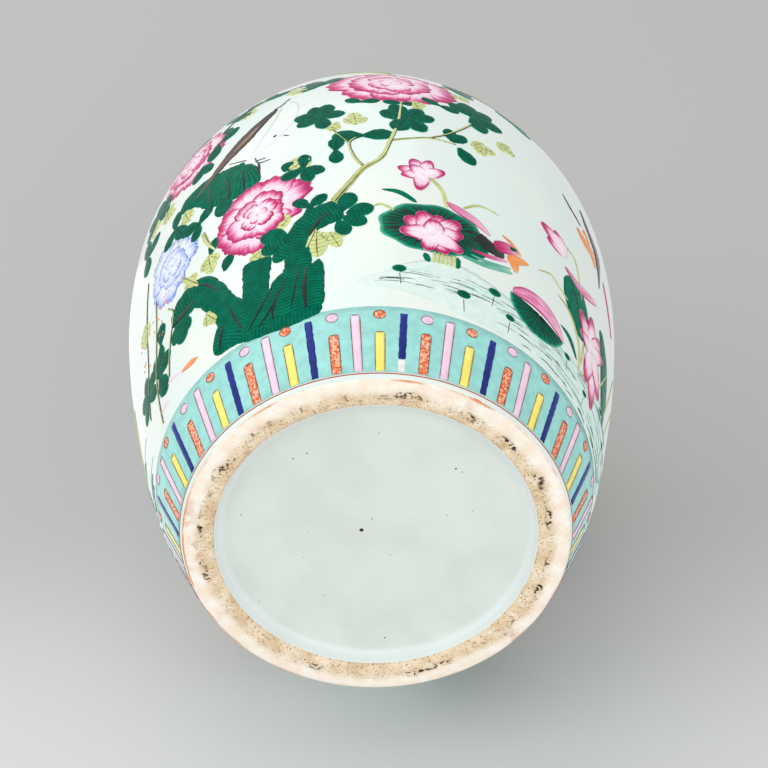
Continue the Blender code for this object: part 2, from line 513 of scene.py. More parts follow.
def body_outline():
    """The glazed body, from the middle of its floor, over the lip, to under its base."""
    outer = smooth_curve(WALL, OUTLINE_STEPS)
    along = outer[2:] - outer[:-2]
    along /= np.linalg.norm(along, axis=1)[:, None]
    inside = outer[1:-1] + np.stack([-along[:, 1], along[:, 0]], 1) * WALL_THICKNESS
    inside = inside[inside[:, 1] > FLOOR_HEIGHT + FLOOR_CORNER]
    inside = inside[inside[:, 1] < LEDGE_HEIGHT - SHOULDER_THICKNESS]
    corner = inside[0][0] - FLOOR_CORNER - WALL_CLEARANCE
    pieces = (
        ((0, FLOOR_HEIGHT), (FLOOR_FLAT_RADIUS, FLOOR_HEIGHT)),
        arc(corner, FLOOR_HEIGHT + FLOOR_CORNER, FLOOR_CORNER, -90, -15, 10),
        inside,
        NECK_ROOT,
        arc(NECK_INNER + LIP_ROUND, LIP_BASE, LIP_ROUND, 180, 90, 5),
        arc(NECK_RADIUS - LIP_ROUND, LIP_BASE, LIP_ROUND, 90, 0, 5),
        arc(NECK_RADIUS + LEDGE_FILLET, LEDGE_HEIGHT + LEDGE_FILLET, LEDGE_FILLET, 180, 270, 4),
        ((LEDGE_RADIUS - 0.6, LEDGE_HEIGHT), (LEDGE_RADIUS, LEDGE_HEIGHT - 0.15)),
        outer[outer[:, 1] > FOOT_TOP][::-1],
        UNDERSIDE,
    )
    return np.concatenate([np.array(piece, float) for piece in pieces])


def porcelain_body():
    """The glazed body, its foot ring and recess, the base's iron spots, and the foot's red line."""
    wall = turned("body_porcelain", body_outline(), glaze("wall_glaze", BARE_LEDGE))
    keep(wall, "jar", BODY_SLOT, "jar_body")
    foot = turned("foot_ring_biscuit", FOOT_RING, biscuit(), closed=True)
    roughen(foot, 7.0, 0.35)
    keep(foot, "jar", BODY_SLOT)
    keep(turned("base_glaze_pool", RECESS, base_glaze()), "jar", BODY_SLOT)

    spots = Painting(Site("iron_", skin=FOOT_BASE), "spot")
    spots.disc((-7, -1.5), (1.2, 1.2), -0.1, tilt=10, ruffle=0.2, rings=4, spokes=16)
    for across, back, radius in ((-2, -8, 0.45), (3, 66, 0.55), (34, -9, 0.35), (6.5, 14, 0.35),
                                 (46, -11, 0.3), (-38, -44, 0.5), (-64, -12, 0.4), (38, -36, 0.6),
                                 (41, -34, 0.4), (-26, 38, 0.35)):
        spots.disc((across, back), (radius, radius), -0.12, rings=3, spokes=10)
    spots.finish("rust", BODY_SLOT)

    line = BODY.run_at(RED_LINE_HEIGHT)
    strip = Painting(Site("foot_"), "red_line")
    strip.belt(line - RED_LINE_HALF_WIDTH, line + RED_LINE_HALF_WIDTH, 0.14, 0.1, 240, 3)
    strip.finish("red")


def porcelain_cover():
    outside = smooth_curve(COVER_OUTSIDE, OUTLINE_STEPS)[::-1]
    inside = smooth_curve(COVER_INSIDE, OUTLINE_STEPS)[::-1]
    outline = np.concatenate([outside[:-1], COVER_RIM, inside[1:]])
    piece = turned("cover_porcelain", outline, glaze("cover_glaze", BARE_COVER_RIM))
    keep(piece, "cover", COVER_SLOT, "cap_cover")


# ------------------------------------------------------------------ enamel painting

class Painting:
    """Enamel on a site's skin: sheets of points, joined into one piece and given thickness."""

    def __init__(self, site, name, seed=0):
        self.site = site
        self.skin = site.skin
        self.name = site.prefix + name
        self.dice = random.Random(site.seed + seed)
        self.points = []
        self.faces = []
        self.marks = {"tone": [], "along": [], "across": [], "number": []}
        self.strokes = 0

    def start(self, point):
        """Millimetres in a degree at an (angle, height) point, and its place in millimetres."""
        scale = math.radians(self.skin.radius_at(point[1]))
        return scale, point[0] * scale, self.skin.run_at(point[1])

    def sheet(self, angle, run, lift, tone, along, across, closed=False):
        """A grid of points laid on the skin; a closed one joins its last row to its first."""
        angle = angle + self.site.turn
        points = self.skin.place(angle, run, lift)
        rows, columns = angle.shape
        grid = len(self.points) + np.arange(rows * columns).reshape(rows, columns)
        self.points += points.reshape(-1, 3).tolist()
        marks = {"tone": tone, "along": along, "across": across, "number": self.strokes * 1.37}
        for name, values in marks.items():
            self.marks[name] += np.broadcast_to(values, angle.shape).reshape(-1).tolist()
        self.strokes += 1

        row = rows // 2
        column = columns // 2
        here = (angle[row, column], run[row, column])
        outward = self.skin.place(*here, 1.0) - self.skin.place(*here, 0.0)
        down = points[row, column] - points[row - 1, column]
        side = points[row, column] - points[row, column - 1]
        order = -1 if np.dot(np.cross(side, down), outward) < 0 else 1
        if closed:
            grid = np.vstack([grid, grid[:1]])
        corners = np.stack([grid[:-1, :-1], grid[:-1, 1:], grid[1:, 1:], grid[1:, :-1]], -1)
        self.faces += corners[..., ::order].reshape(-1, 4).tolist()

    def belt(self, low, high, lift, edge_lift, steps, rows_across):
        """A band right round the skin between two runs."""
        angle, share = np.meshgrid(np.linspace(0, 360, steps, endpoint=False),
                                   np.linspace(0, 1, rows_across), indexing="ij")
        crown = np.where((share > 0) & (share < 1), lift, edge_lift)
        run = low + (high - low) * share
        self.sheet(angle, run, crown, 0.6, angle * 1.8, share * 2 - 1, closed=True)

    def ribbon(self, path, lift=0.0, tone=(0.6, 0.6), columns=5, step=1.6, wobble=0.0, tapered=True,
               rim=0.0):
        """A brush stroke through (angle, height, half width) points, from one tone to another."""
        scale = self.start((0, sum(height for _, height, _ in path) / len(path)))[0]
        rough = smooth_curve([(angle * scale, self.skin.run_at(height), width)
                              for angle, height, width in path], 10)
        lengths = np.concatenate([[0], np.cumsum(np.hypot(*np.diff(rough[:, :2], axis=0).T))])
        count = max(4, int(lengths[-1] / step) + 1)
        along = np.linspace(0, lengths[-1], count)[:, None]
        x, y, width = (np.interp(along, lengths, rough[:, axis]) for axis in range(3))
        width = np.maximum(width, LEAST_HALF_WIDTH)
        if wobble:
            width = width * (1 + wobble * np.array([[self.dice.uniform(-1, 1)] for _ in range(count)]))
        share = np.linspace(0, 1, count)[:, None]
        if tapered:
            width = width * np.minimum(1.0, np.minimum(share, 1 - share) * count * 0.6 + 0.25)
        dx = np.gradient(x, axis=0)
        dy = np.gradient(y, axis=0)
        length = np.hypot(dx, dy)
        across = np.linspace(-1, 1, columns)[None]
        shift = width * across
        sides = 1 - np.abs(across) ** 4 * (0.9 if lift < 0.05 else 0.35)
        crown = np.repeat((ENAMEL + lift) * sides, count, 0)
        crown[[0, -1]] *= 0.4
        tones = np.interp(share, [0, 1], tone) * (1 - rim * (np.abs(across) > 0.95))
        angle = (x - dy / length * shift) / scale
        self.sheet(angle, y + dx / length * shift, crown, tones, along, across)

    def petal(self, base, heading, length, width, lift, tone, scallops, roundness, narrow, depth):
        """A petal from (angle, height), heading clockwise from straight up, toned from base to tip."""
        scale, x, y = self.start(base)
        ahead = (math.sin(math.radians(heading)), math.cos(math.radians(heading)))
        u = np.append(np.linspace(0, 0.96, 10), 1.0)[:, None]
        v = np.concatenate([[-1.0], np.linspace(-0.93, 0.93, 11), [1.0]])[None]
        reach = length * (1 - roundness * np.abs(v) ** 3.2 + depth * np.cos(scallops * math.pi * v))
        half = width / 2 * (narrow + (1 - narrow) * np.sin(u * math.pi / 2) ** 0.8) * (1 - 0.12 * u**4)
        x = x + ahead[0] * reach * u + ahead[1] * half * v
        y = y + ahead[1] * reach * u - ahead[0] * half * v
        rim = np.maximum(np.abs(v), u)
        crown = lift + ENAMEL * (0.25 + 0.75 * u**0.5) * (1 - 0.85 * rim**14)
        tones = tone[0] + (tone[1] - tone[0]) * (0.85 * u**3 + 0.4 * np.abs(v) ** 5 * u)
        tones = np.where(rim > 0.97, np.minimum(tones, 0.4), tones)
        self.sheet(x / scale, y, crown, tones, u * length, v)

    def lobe(self, base, heading, length, width, lift, tone=1.0, bend=0.0, teeth=0.0, rows=12):
        """A leaf or one lobe of it, round at its tip, bending as it goes, pale rimmed."""
        scale, x, y = self.start(base)
        u = np.append(np.linspace(0, 0.95, rows - 1), 1.0)
        turn = np.radians(heading + bend * (u - 0.2))
        step = np.diff(u) * length
        x = x + np.concatenate([[0], np.cumsum(np.sin(turn[1:]) * step)])
        y = y + np.concatenate([[0], np.cumsum(np.cos(turn[1:]) * step)])
        half = width / 2 * np.maximum(np.sin(math.pi * u**1.25), 0.02) ** 0.5
        half = np.maximum(half, width * 0.14 * (1 - u)) * (1 + teeth * np.sin(u * 20))
        v = np.concatenate([[-1.0], np.linspace(-0.84, 0.84, 7), [1.0]])
        shift = np.outer(half, v)
        angle = (x[:, None] + np.cos(turn)[:, None] * shift) / scale
        run = y[:, None] - np.sin(turn)[:, None] * shift
        rim = np.maximum(np.abs(v)[None], u[:, None] ** 2)
        crown = lift + ENAMEL * (1 - 0.8 * rim**6)
        self.sheet(angle, run, crown, np.where(rim > 0.97, 0.0, tone), (u * length)[:, None], v[None])

    def disc(self, centre, radii, lift=0.0, tilt=0.0, ruffle=0.0, rings=6, spokes=40, start=0,
             sweep=360):
        """A round or oval leaf, whole or part: along is the share of the radius, across the angle."""
        scale, x, y = self.start(centre)
        whole = sweep == 360
        turns = np.radians(np.linspace(start, start + sweep, spokes, endpoint=not whole))
        spoke, share = np.meshgrid(turns, np.linspace(0.04, 1, rings), indexing="ij")
        edge = 1 + ruffle * np.sin(spoke * 9 + 1.0) * share**3
        a = radii[0] * share * edge * np.cos(spoke)
        b = radii[1] * share * edge * np.sin(spoke)
        lean = math.radians(tilt)
        x = x + a * math.cos(lean) - b * math.sin(lean)
        y = y + a * math.sin(lean) + b * math.cos(lean)
        crown = lift + ENAMEL * (1 - 0.8 * share**8)
        self.sheet(x / scale, y, crown, 1 - share**7, share * 10, spoke, closed=whole)

    def finish(self, paint, slot=ENAMEL_SLOT):
        """Make the mesh, give it thickness down into the glaze, and let it ride."""
        mesh = bpy.data.meshes.new(self.name)
        mesh.from_pydata(self.points, [], self.faces)
        mesh.materials.append(PAINT[paint])
        for name, values in self.marks.items():
            mesh.attributes.new(name, "FLOAT", "POINT").data.foreach_set("value", values)
        mesh.shade_smooth()
        piece = placed(self.name, mesh)
        thick = piece.modifiers.new("thickness", "SOLIDIFY")
        thick.thickness = ENAMEL_THICKNESS * MM
        thick.offset = -1.0
        keep(piece, self.site.body, slot)


# ------------------------------------------------------------------ border bands

# The bars in turn, with half their width as a share of the pitch.
BARS = {"cobalt": 0.165, "coral": 0.205, "pink": 0.18, "yellow": 0.2}
OUTLINE_HALF_WIDTH = 0.16


def bar_band(name, body, skin, heights, count, first_angle, worn=None):
    """A turquoise band with bars of four colours in turn, and dots over the short ones.

    The bar with the number worn has lost the enamel of its foot.
    """
    site = Site(name + "_", 0, 0, skin, body)
    low, high = (skin.run_at(height) for height in heights)
    tall = high - low

    def height_up(share):
        return skin.height_at(low + tall * share)

    ground = Painting(site, "ground")
    ground.belt(low, high, 0.12, 0.03, 360, 8)
    ground.finish("turquoise")
    bars = {colour: Painting(site, "bars_" + colour, 5) for colour in BARS}
    dots = {colour: Painting(site, "dots_" + colour, 6) for colour in ("pink", "coral")}
    lines = Painting(site, "outlines", 7)
    patch = Painting(site, "bare_patch", 8)
    pitch = 360 / count
    for number in range(count):
        colour = list(BARS)[number % 4]
        dice = bars[colour].dice
        angle = first_angle + pitch * number + dice.uniform(-0.25, 0.25) * pitch / 6
        base = height_up(0.012)
        top = height_up((0.89 if colour in ("cobalt", "pink") else 0.62) + dice.uniform(-0.02, 0.02))
        lean = dice.uniform(-0.35, 0.35) * pitch / 6
        width = BARS[colour] * math.radians(pitch) * skin.radius_at((base + top) / 2)
        if worn == number:
            bare_top = height_up(0.2)
            patch.ribbon(((angle, base, width), (angle, bare_top, width)), 0.05, tapered=False)
            base = bare_top
        path = ((angle, base, width), (angle + lean / 2, (base + top) / 2, width * 1.02),
                (angle + lean, top, width * 0.96))
        bars[colour].ribbon(path, 0.1, (0.75, 0.45), wobble=0.1 if colour == "cobalt" else 0.04,
                            tapered=False)
        if colour != "cobalt":
            edge = math.degrees(width / skin.radius_at(base))
            for side in (-1, 1):
                outline = [(a + side * edge * 1.05, h, OUTLINE_HALF_WIDTH) for a, h, _ in path]
                lines.ribbon(outline, 0.12, (0.9, 0.6), 3, wobble=0.4)
            lines.ribbon(((angle + lean - edge, top, OUTLINE_HALF_WIDTH),
                          (angle + lean + edge, top + 0.15, OUTLINE_HALF_WIDTH)), 0.14, (0.9, 0.6), 3)
        if colour in ("coral", "yellow"):
            dot_height = height_up(0.86 + dice.uniform(-0.02, 0.02))
            radius = tall * 0.062
            dot = dots["pink" if colour == "coral" else "coral"]
            dot.disc((angle + lean, dot_height), (radius * 1.25, radius), 0.1, dice.uniform(-25, 25),
                     rings=4, spokes=18)
            across = radius * 1.3 * math.degrees(1 / skin.radius_at(dot_height))
            up = radius * 1.08 * (height_up(0.9) - height_up(0.8)) / (tall * 0.1)
            lines.ribbon([(angle + lean + across * math.cos(t), dot_height + up * math.sin(t), 0.13)
                          for t in np.radians(np.linspace(10, 350, 9))], 0.12, (0.2, 0.9), 3, 0.8)
    for colour, painting in (*bars.items(), *dots.items()):
        painting.finish(colour)
    lines.finish("outline")
    if worn is not None:
        patch.finish("white")


# ------------------------------------------------------------------ flowers and leaves

# The outer petals of three peonies as (heading, length, width), in the order they are laid.
MID_PEONY_PETALS = ((-172, 27, 21), (-140, 26, 21), (-106, 25, 22), (-70, 24, 22), (-34, 26, 22),
                    (2, 27, 22), (66, 31, 20), (34, 29, 22), (98, 25, 20), (128, 21, 18), (158, 21, 18))
BLUE_PEONY_PETALS = ((-20, 25, 12), (-42, 24, 12), (14, 19, 11), (46, 18, 11), (80, 21, 12),
                     (-68, 20, 12), (106, 21, 11), (-94, 20, 12), (-120, 22, 12), (-144, 24, 12),
                     (-170, 25, 12), (164, 21, 11), (136, 18, 11))
HIGH_PEONY_PETALS = ((-90, 34, 27), (-50, 32, 27), (-10, 31, 26), (30, 32, 27), (68, 35, 26),
                     (104, 36, 27), (142, 31, 26), (180, 28, 26), (-138, 31, 27))


def peony(site, name, centre, reach, seed, paint="rose", petals=None):
    """A full-blown peony: an outer whorl of (heading, length, width) petals, and two cups inside it."""
    flower = Painting(site, name, seed)
    dice = flower.dice
    scale, _, run = flower.start(centre)
    petals = petals or [(heading + dice.uniform(-8, 8), reach, reach * 0.66)
                        for heading in range(-180, 180, 36)]

    def lay(heading, length, width, start, lift, tone):
        across = math.sin(math.radians(heading))
        up = math.cos(math.radians(heading))
        base = (centre[0] + across * start / scale, site.skin.height_at(run + up * start))
        flower.petal(base, heading, length - start, width, lift, tone, 3, 0.24, 0.3, 0.045)

    for number, (heading, length, width) in enumerate(petals):
        lay(heading, length, width, reach * 0.2, 0.03 * (number % 4), (0.0, dice.uniform(1.05, 1.3)))
    for count, share, lift, twist in ((6, 0.64, 0.16, 20), (4, 0.44, 0.27, -30)):
        for number in range(count):
            heading = twist + 360 / count * number + dice.uniform(-12, 12)
            length = reach * share * dice.uniform(0.85, 1.15)
            lay(heading, length, length * 1.08, length * 0.1, lift + 0.025 * (number % 3),
                (0.05, dice.uniform(0.95, 1.3)))
    for heading in (-150, -50, 60):
        lay(heading + dice.uniform(-15, 15), reach * 0.24, reach * 0.2, reach * 0.02, 0.36, (0.1, 0.9))
    flower.finish(paint)


def lotus(site, name, centre, petals, seed, lift):
    """A lotus: pointed petals given as (heading, length, width), the first ones lowest."""
    flower = Painting(site, name, seed)
    for number, (heading, length, width) in enumerate(petals):
        flower.petal(centre, heading, length, width, lift + 0.04 * number, (0.0, 1.2),
                     1, 0.42, 0.32, 0.05)
    flower.finish("rose")


def leaf_sprays(site, name, sprays, seed):
    """Dark peony leaves: (angle, height, reach, headings of the lobes)."""
    leaves = Painting(site, name, seed)
    for angle, height, reach, headings in sprays:
        for number, heading in enumerate(headings):
            length = reach * leaves.dice.uniform(1.02, 1.24)
            leaves.lobe((angle, height), heading, length, length * leaves.dice.uniform(0.6, 0.74),
                        0.03 + 0.03 * number, bend=leaves.dice.uniform(-20, 20), teeth=0.04)
    leaves.finish("leaf")


def pale_leaves(site, name, leaves, seed):
    """Small yellow-green leaves of three lobes: (angle, height, heading, length)."""
    painting = Painting(site, name, seed)
    for angle, height, heading, length in leaves:
        for spread, share, lift in ((-38, 0.7, 0.02), (38, 0.7, 0.02), (0, 1.0, 0.05)):
            painting.lobe((angle, height), heading + spread, length * share, length * share * 0.62, lift,
                          bend=painting.dice.uniform(-15, 15), rows=9)
    painting.finish("pale")


def ribbons(site, name, paint, seed, *paths, **style):
    """Wide brush strokes of one style."""
    painting = Painting(site, name, seed)
    for path in paths:
        painting.ribbon(path, **style)
    painting.finish(paint)


def strokes(site, name, paint, paths, seed, wobble=0.15, lift=0.1, thickness=1.0):
    """Brush lines through (angle, height, half width) points; lift is one number, or one for each."""
    painting = Painting(site, name, seed)
    for path, line_lift in zip(paths, np.broadcast_to(lift, len(paths))):
        path = [(angle, height, width * thickness) for angle, height, width in path]
        fine = max(width for _, _, width in path) < 1
        painting.ribbon(path, line_lift, (0.85, 0.35), 3 if fine else 7, 1.0, wobble)
    painting.finish(paint)


# ------------------------------------------------------------------ the peony garden

def rockery(site):
    """Green rocks with hatched faces, from the band up to the peonies, and a cliff above them."""
    rock = Painting(site, "rock")
    parts = (
        (0.0, ((-43, 44, 3), (-36, 45, 5), (-29, 43, 7), (-21, 42, 7), (-12, 42, 4))),
        (0.05, ((-38, 42, 6), (-35, 54, 9), (-38, 69, 8), (-41, 83, 8), (-45, 92, 9), (-51, 91, 9),
                (-55, 87, 4))),
        (0.02, ((-42, 42, 3), (-40, 50, 5), (-38, 58, 4))),
        (0.09, ((-30, 42, 9), (-29, 56, 8), (-28, 72, 7.5), (-27, 88, 8))),
        (0.06, ((-23, 42, 10), (-22, 52, 9), (-21, 62, 7), (-19, 70, 4))),
        (0.13, ((-18, 42, 11), (-18, 58, 9), (-17, 74, 7), (-17, 88, 6.5), (-15, 97, 7), (-11, 103, 8),
                (-6, 107, 8))),
        (0.1, ((-14, 42, 5), (-14, 54, 6), (-13, 64, 4.5), (-12, 73, 1.5))),
    )
    for lift, path in parts:
        rock.ribbon(path, lift, (0.7, 0.9), 11, 1.8, 0.06)
    for angle, height, heading, length in (
            (-6, 105, 20, 14), (-5, 102, 70, 14), (-6, 100, 115, 13), (-7, 98, 160, 12),
            (-19, 94, -60, 16), (-19, 92, -100, 15), (-19, 88, -140, 12), (-52, 86, -150, 14),
            (-52, 84, 180, 15), (-52, 85, 150, 13)):
        rock.lobe((angle, height), heading, length, length * 0.72, 0.16, 0.9)
    rock.finish("rock")

    cliff = Painting(site, "cliff", 1)
    cliff.ribbon(((-48, 170, 5), (-41, 168, 10), (-35, 160, 14.5), (-29, 156, 14), (-25, 158, 9)), 0.02,
                 (0.8, 0.6), 13, wobble=0.05)
    cliff.lobe((-34, 150), 190, 16, 12, 0.05, 0.9)
    cliff.finish("rock")

    folds = (
        ((-32, 43, 0.5), (-28, 52, 1.1), (-24, 63, 0.4)),
        ((-29, 42, 0.5), (-25, 50, 1.2), (-21, 62, 0.4)),
        ((-25, 43, 0.4), (-24, 52, 0.9), (-20, 66, 0.3)),
        ((-16, 43, 0.9), (-16, 55, 1.8), (-15, 70, 0.5)),
        ((-20, 44, 0.3), (-18, 60, 0.8), (-17, 74, 0.3)),
        ((-14, 90, 0.8), (-12, 98, 1.6), (-9, 106, 0.6)),
        ((-41, 43, 0.4), (-40, 50, 1.4), (-38, 57, 0.4)),
        ((-55, 88, 0.5), (-51, 87, 2.6), (-46, 88, 0.5)),
        ((-44, 96, 0.4), (-41, 90, 1.2), (-38, 79, 0.4)),
        ((-36, 66, 0.3), (-35, 56, 0.9), (-33, 46, 0.3)),
        ((-38, 146, 0.4), (-38, 156, 1.2), (-39, 168, 0.4)),
        ((-33, 144, 0.4), (-33, 156, 1.4), (-34, 166, 0.4)),
        ((-29, 146, 0.3), (-29, 156, 1), (-29, 164, 0.3)),
        ((-25, 152, 0.5), (-25, 158, 1.4), (-25, 164, 0.5)),
    )
    strokes(site, "rock_folds", "ink", folds, 2, lift=0.3, thickness=0.62)


def garden_bird(site):
    """A long-tailed bird, white below and brown above, perched on the cliff."""
    breast = ((-19, 224, 2), (-18, 212, 5.5), (-19, 198, 7), (-22, 184, 6), (-27, 170, 1.5))
    ribbons(site, "bird_breast", "feather", 10, breast, lift=-0.16, tone=(0.2, 0.5), columns=9)
    back = Painting(site, "bird_back", 11)
    back.ribbon(((-21, 216, 1.4), (-25, 205, 3.6), (-29, 194, 4.8), (-33, 185, 3.9), (-38, 174, 2.1),
                 (-43, 166, 0.7)), 0.12, (0.9, 0.5), 9, wobble=0.08)
    back.ribbon(((-25, 203, 0.5), (-28, 195, 1.5), (-32, 186, 0.5)), 0.2, (0.0, 0.25), wobble=0.1)
    back.finish("brown")
    marks = (
        ((-21.5, 183, 0.9), (-20.5, 184, 0.6)), ((-19, 181, 0.5), (-17.5, 179, 0.2)),
        ((-26, 170, 0.3), (-25, 163, 0.35), (-22, 162, 0.2)), ((-26, 166, 0.3), (-23, 165, 0.2)),
        ((-28, 167, 0.3), (-27, 161, 0.35), (-25, 158, 0.2)), ((-20, 219, 0.4), (-18, 227, 0.2)),
        ((-22, 216, 0.5), (-19, 221, 0.3)), ((-28, 171, 0.3), (-33, 177, 0.2)),
    )
    strokes(site, "bird_marks", "ink", marks, 12)


def peony_garden(site, bloom):
    """The garden half of the painting, centred a little left of the site's turn."""
    rockery(site)
    garden_bird(site)
    peony(site, "peony_high", (6, 232), 32, 20, bloom, HIGH_PEONY_PETALS)
    peony(site, "peony_mid", (-26, 119), 26, 21, "rose", MID_PEONY_PETALS)
    peony(site, "peony_far", (-45, 213), 25, 22, bloom)
    peony(site, "peony_blue", (-52, 130), 20, 23, "blue", BLUE_PEONY_PETALS)

    five = (0, 62, 128, -62, -128)
    sprays = (
        (-10.5, 190, 12.5, (-18, 22, 78, -70, -112, 168)), (-1, 166.5, 13, (86, -86)),
        (-7, 155, 10, (4, 178)), (9.5, 186, 14, (-72, -32, 30, 74, -150, 146)),
        (25, 208, 15, (-50, -8, 44, 100, 160)), (19.5, 171, 11, (-10, 40)), (21, 167, 12, (150,)),
        (-14.5, 144, 12, (-52, 4, 120, -110, 160)), (-13.5, 112, 11, (-46, 52, 170)),
        (-50, 158, 13, (10, -130, 150)), (-42, 142, 12, (48, -160, -70)), (-39.5, 111, 10, (25,)),
        (-36, 92, 10, (22,)), (-1, 203, 9, (70, -60)), (8, 203, 9, (80, -80)),
        (17, 209, 10, (100, -60)), (-10, 240, 15, (-100, -40, 30)), (22, 252, 14, (70, 10, 130)),
        (-37, 210, 14, (20, 60, 190)), (-41, 196, 12, (200, 150)), (-58, 197, 14, five),
        (-63, 170, 14, (0, 70, 180)), (-61, 88, 12, (20, 190)), (-64, 70, 14, (-10, 60, 170)),
        (-72, 74, 12, five), (-34, 236, 13, (-20, 50, 120)), (-26, 246, 12, (-60, 20, 90)),
        (38, 238, 13, (-20, 60, 120)), (-48, 236, 13, (-80, 0, 60)),
    )
    leaf_sprays(site, "leaves", sprays, 30)

    pale = (
        (-2.5, 178, 0, 13), (-8, 174, 20, 9), (-13, 152, -118, 14), (-14, 236, -70, 14),
        (24, 174, 84, 14), (11, 208, 170, 11), (-18, 108, -95, 13), (22, 230, 40, 12),
        (-45, 153, -20, 12), (-49, 145, 170, 10), (-40, 111, 180, 14), (-20, 104, -70, 14),
        (-25, 92, -150, 13), (-9, 90, 160, 12), (-12, 92, 185, 18), (-43, 72, 150, 12),
        (-47, 108, 160, 11), (-60, 182, 20, 14), (-54, 176, 30, 14), (31, 190, 120, 12),
        (-30, 226, 10, 13), (-67, 120, 190, 16),
    )
    pale_leaves(site, "pale_leaves", pale, 31)

    branches = (
        ((-8, 112, 2.2), (-4, 126, 1.7), (-1, 137, 1.5), (3, 146, 1.3), (5, 160, 1.1), (7, 180, 0.8),
         (8, 204, 0.5)),
        ((5, 162, 0.8), (10, 166, 0.7), (14, 169, 0.6), (20, 169, 0.4)),
        ((14, 169, 0.6), (19, 179, 0.5), (24, 196, 0.5), (25, 206, 0.4)),
        ((-1, 139, 0.9), (-3, 148, 0.7), (-4, 160, 0.5), (-2, 166, 0.4)),
        ((-4, 160, 0.5), (-8, 176, 0.5), (-10, 188, 0.4)),
        ((-12, 104, 1.8), (-13, 92, 1.6), (-15, 82, 0.8)),
        ((-49, 112, 1.6), (-46, 102, 1.6), (-44, 96, 1)),
        ((-41, 132, 1.6), (-40, 122, 1.4), (-38, 112, 0.8)),
        ((-60, 60, 0.6), (-57, 80, 0.6), (-54, 96, 0.5), (-56, 104, 0.3)),
        ((-68, 44, 0.7), (-66, 70, 0.7), (-62, 100, 0.6), (-60, 122, 0.4)),
        ((-74, 60, 0.5), (-69, 90, 0.5), (-66, 118, 0.4), (-63, 146, 0.3)),
        ((-53, 176, 0.8), (-54, 190, 0.7), (-50, 204, 0.4)),
        ((-37, 222, 0.7), (-30, 240, 0.7), (-16, 250, 0.4)),
        ((18, 246, 0.9), (28, 262, 0.8), (40, 270, 0.5)),
        ((8, 256, 0.9), (4, 272, 0.8), (-8, 284, 0.5)),
    )
    strokes(site, "branches", "stem", branches, 32)
    twig_lines = [[(angle + 0.35, height, width) for angle, height, width in path] for path in branches]
    strokes(site, "twig_lines", "ink", twig_lines, 33, wobble=0.4, lift=0.2, thickness=0.22)

    dice = random.Random(site.seed + 34)
    berries = Painting(site, "red_berries", 34)
    for _ in range(26):
        berries.disc((dice.uniform(-72, -54), dice.uniform(84, 118)), (0.7, 0.9), 0.1, rings=3, spokes=8)
    berries.ribbon(((-55, 53, 0.5), (-51, 52, 1.8), (-48, 51, 0.4)), 0.05)
    berries.finish("coral_petals")
    drifts = (((-62, 58, 0.4), (-59, 57, 1.1), (-55, 54, 0.3)),
              ((-68, 50, 0.4), (-65, 50, 1.2), (-62, 49, 0.4)))
    strokes(site, "fallen_petals", "pink", drifts, 35, lift=0.0)


# ------------------------------------------------------------------ the lotus pond

# The big lotus leaf, the folded one, and the small ones on the water as (angle, height, radius).
# A leaf's half sizes are across and up it. Shares say how far out its veins end.
PAD_CENTRE = (15, 94.5)
PAD_HALF_SIZES = (27, 18)
PAD_VEINS = 40
PAD_VEIN_END = 0.93
FAN_CENTRE = (44.5, 68)
FAN_HALF_SIZES = (18.5, 15)
FAN_VEINS = 13
RIPPLES = 105
SMALL_PADS = ((7, 63, 3.6), (23, 54.5, 4), (31, 64, 3.6), (36, 53, 3), (56, 60, 2.6), (66, 54, 2.6),
              (77, 67, 2.6), (84, 58, 2.8))


def water(site, dice):
    """A pale wash, with dark ripples and turquoise sweeps of the brush over it."""
    wash = ((-3, 54, 1.5), (4, 55.5, 5.5), (10, 57.5, 11), (18, 58.5, 14.5), (24, 56.5, 15.5),
            (30, 54.2, 14), (37, 51.6, 12), (43, 49.6, 9.8), (51, 50.5, 10.5), (64, 52, 12.5),
            (76, 56, 16), (92, 52, 10))
    ribbons(site, "water", "wash", 60, wash, tone=(0.2, 0.5), columns=13, step=2.0, wobble=0.03)
    ripples = []
    places = (0, 10, 20, 30, 43, 60, 88)
    for _ in range(RIPPLES):
        angle = dice.uniform(-1, 88)
        middle = float(np.interp(angle, places, (54, 57, 58, 54, 49, 51, 55)))
        spread = float(np.interp(angle, places, (1, 7, 12, 11, 8, 11, 13)))
        height = middle + dice.uniform(-spread, spread)
        reach = dice.uniform(2, 9)
        drop = dice.uniform(-1.4, 0.6)
        width = dice.uniform(0.16, 0.36)
        ripples.append(((angle, height, width * 0.4),
                        (angle + reach / 2, height + drop / 2 + 0.3, width),
                        (angle + reach, height + drop, width * 0.3)))
    strokes(site, "ripples", "ripple", ripples, 61, wobble=0.3, lift=0.09)
    sweeps = [((angle, height + 2, 0.3), (angle + 6, height + 2.6, 0.9), (angle + 13, height + 1, 0.2))
              for (angle, height, _), _, _ in ripples[::4]]
    strokes(site, "water_sweeps", "turquoise", sweeps, 61, wobble=0.2, lift=0.04)


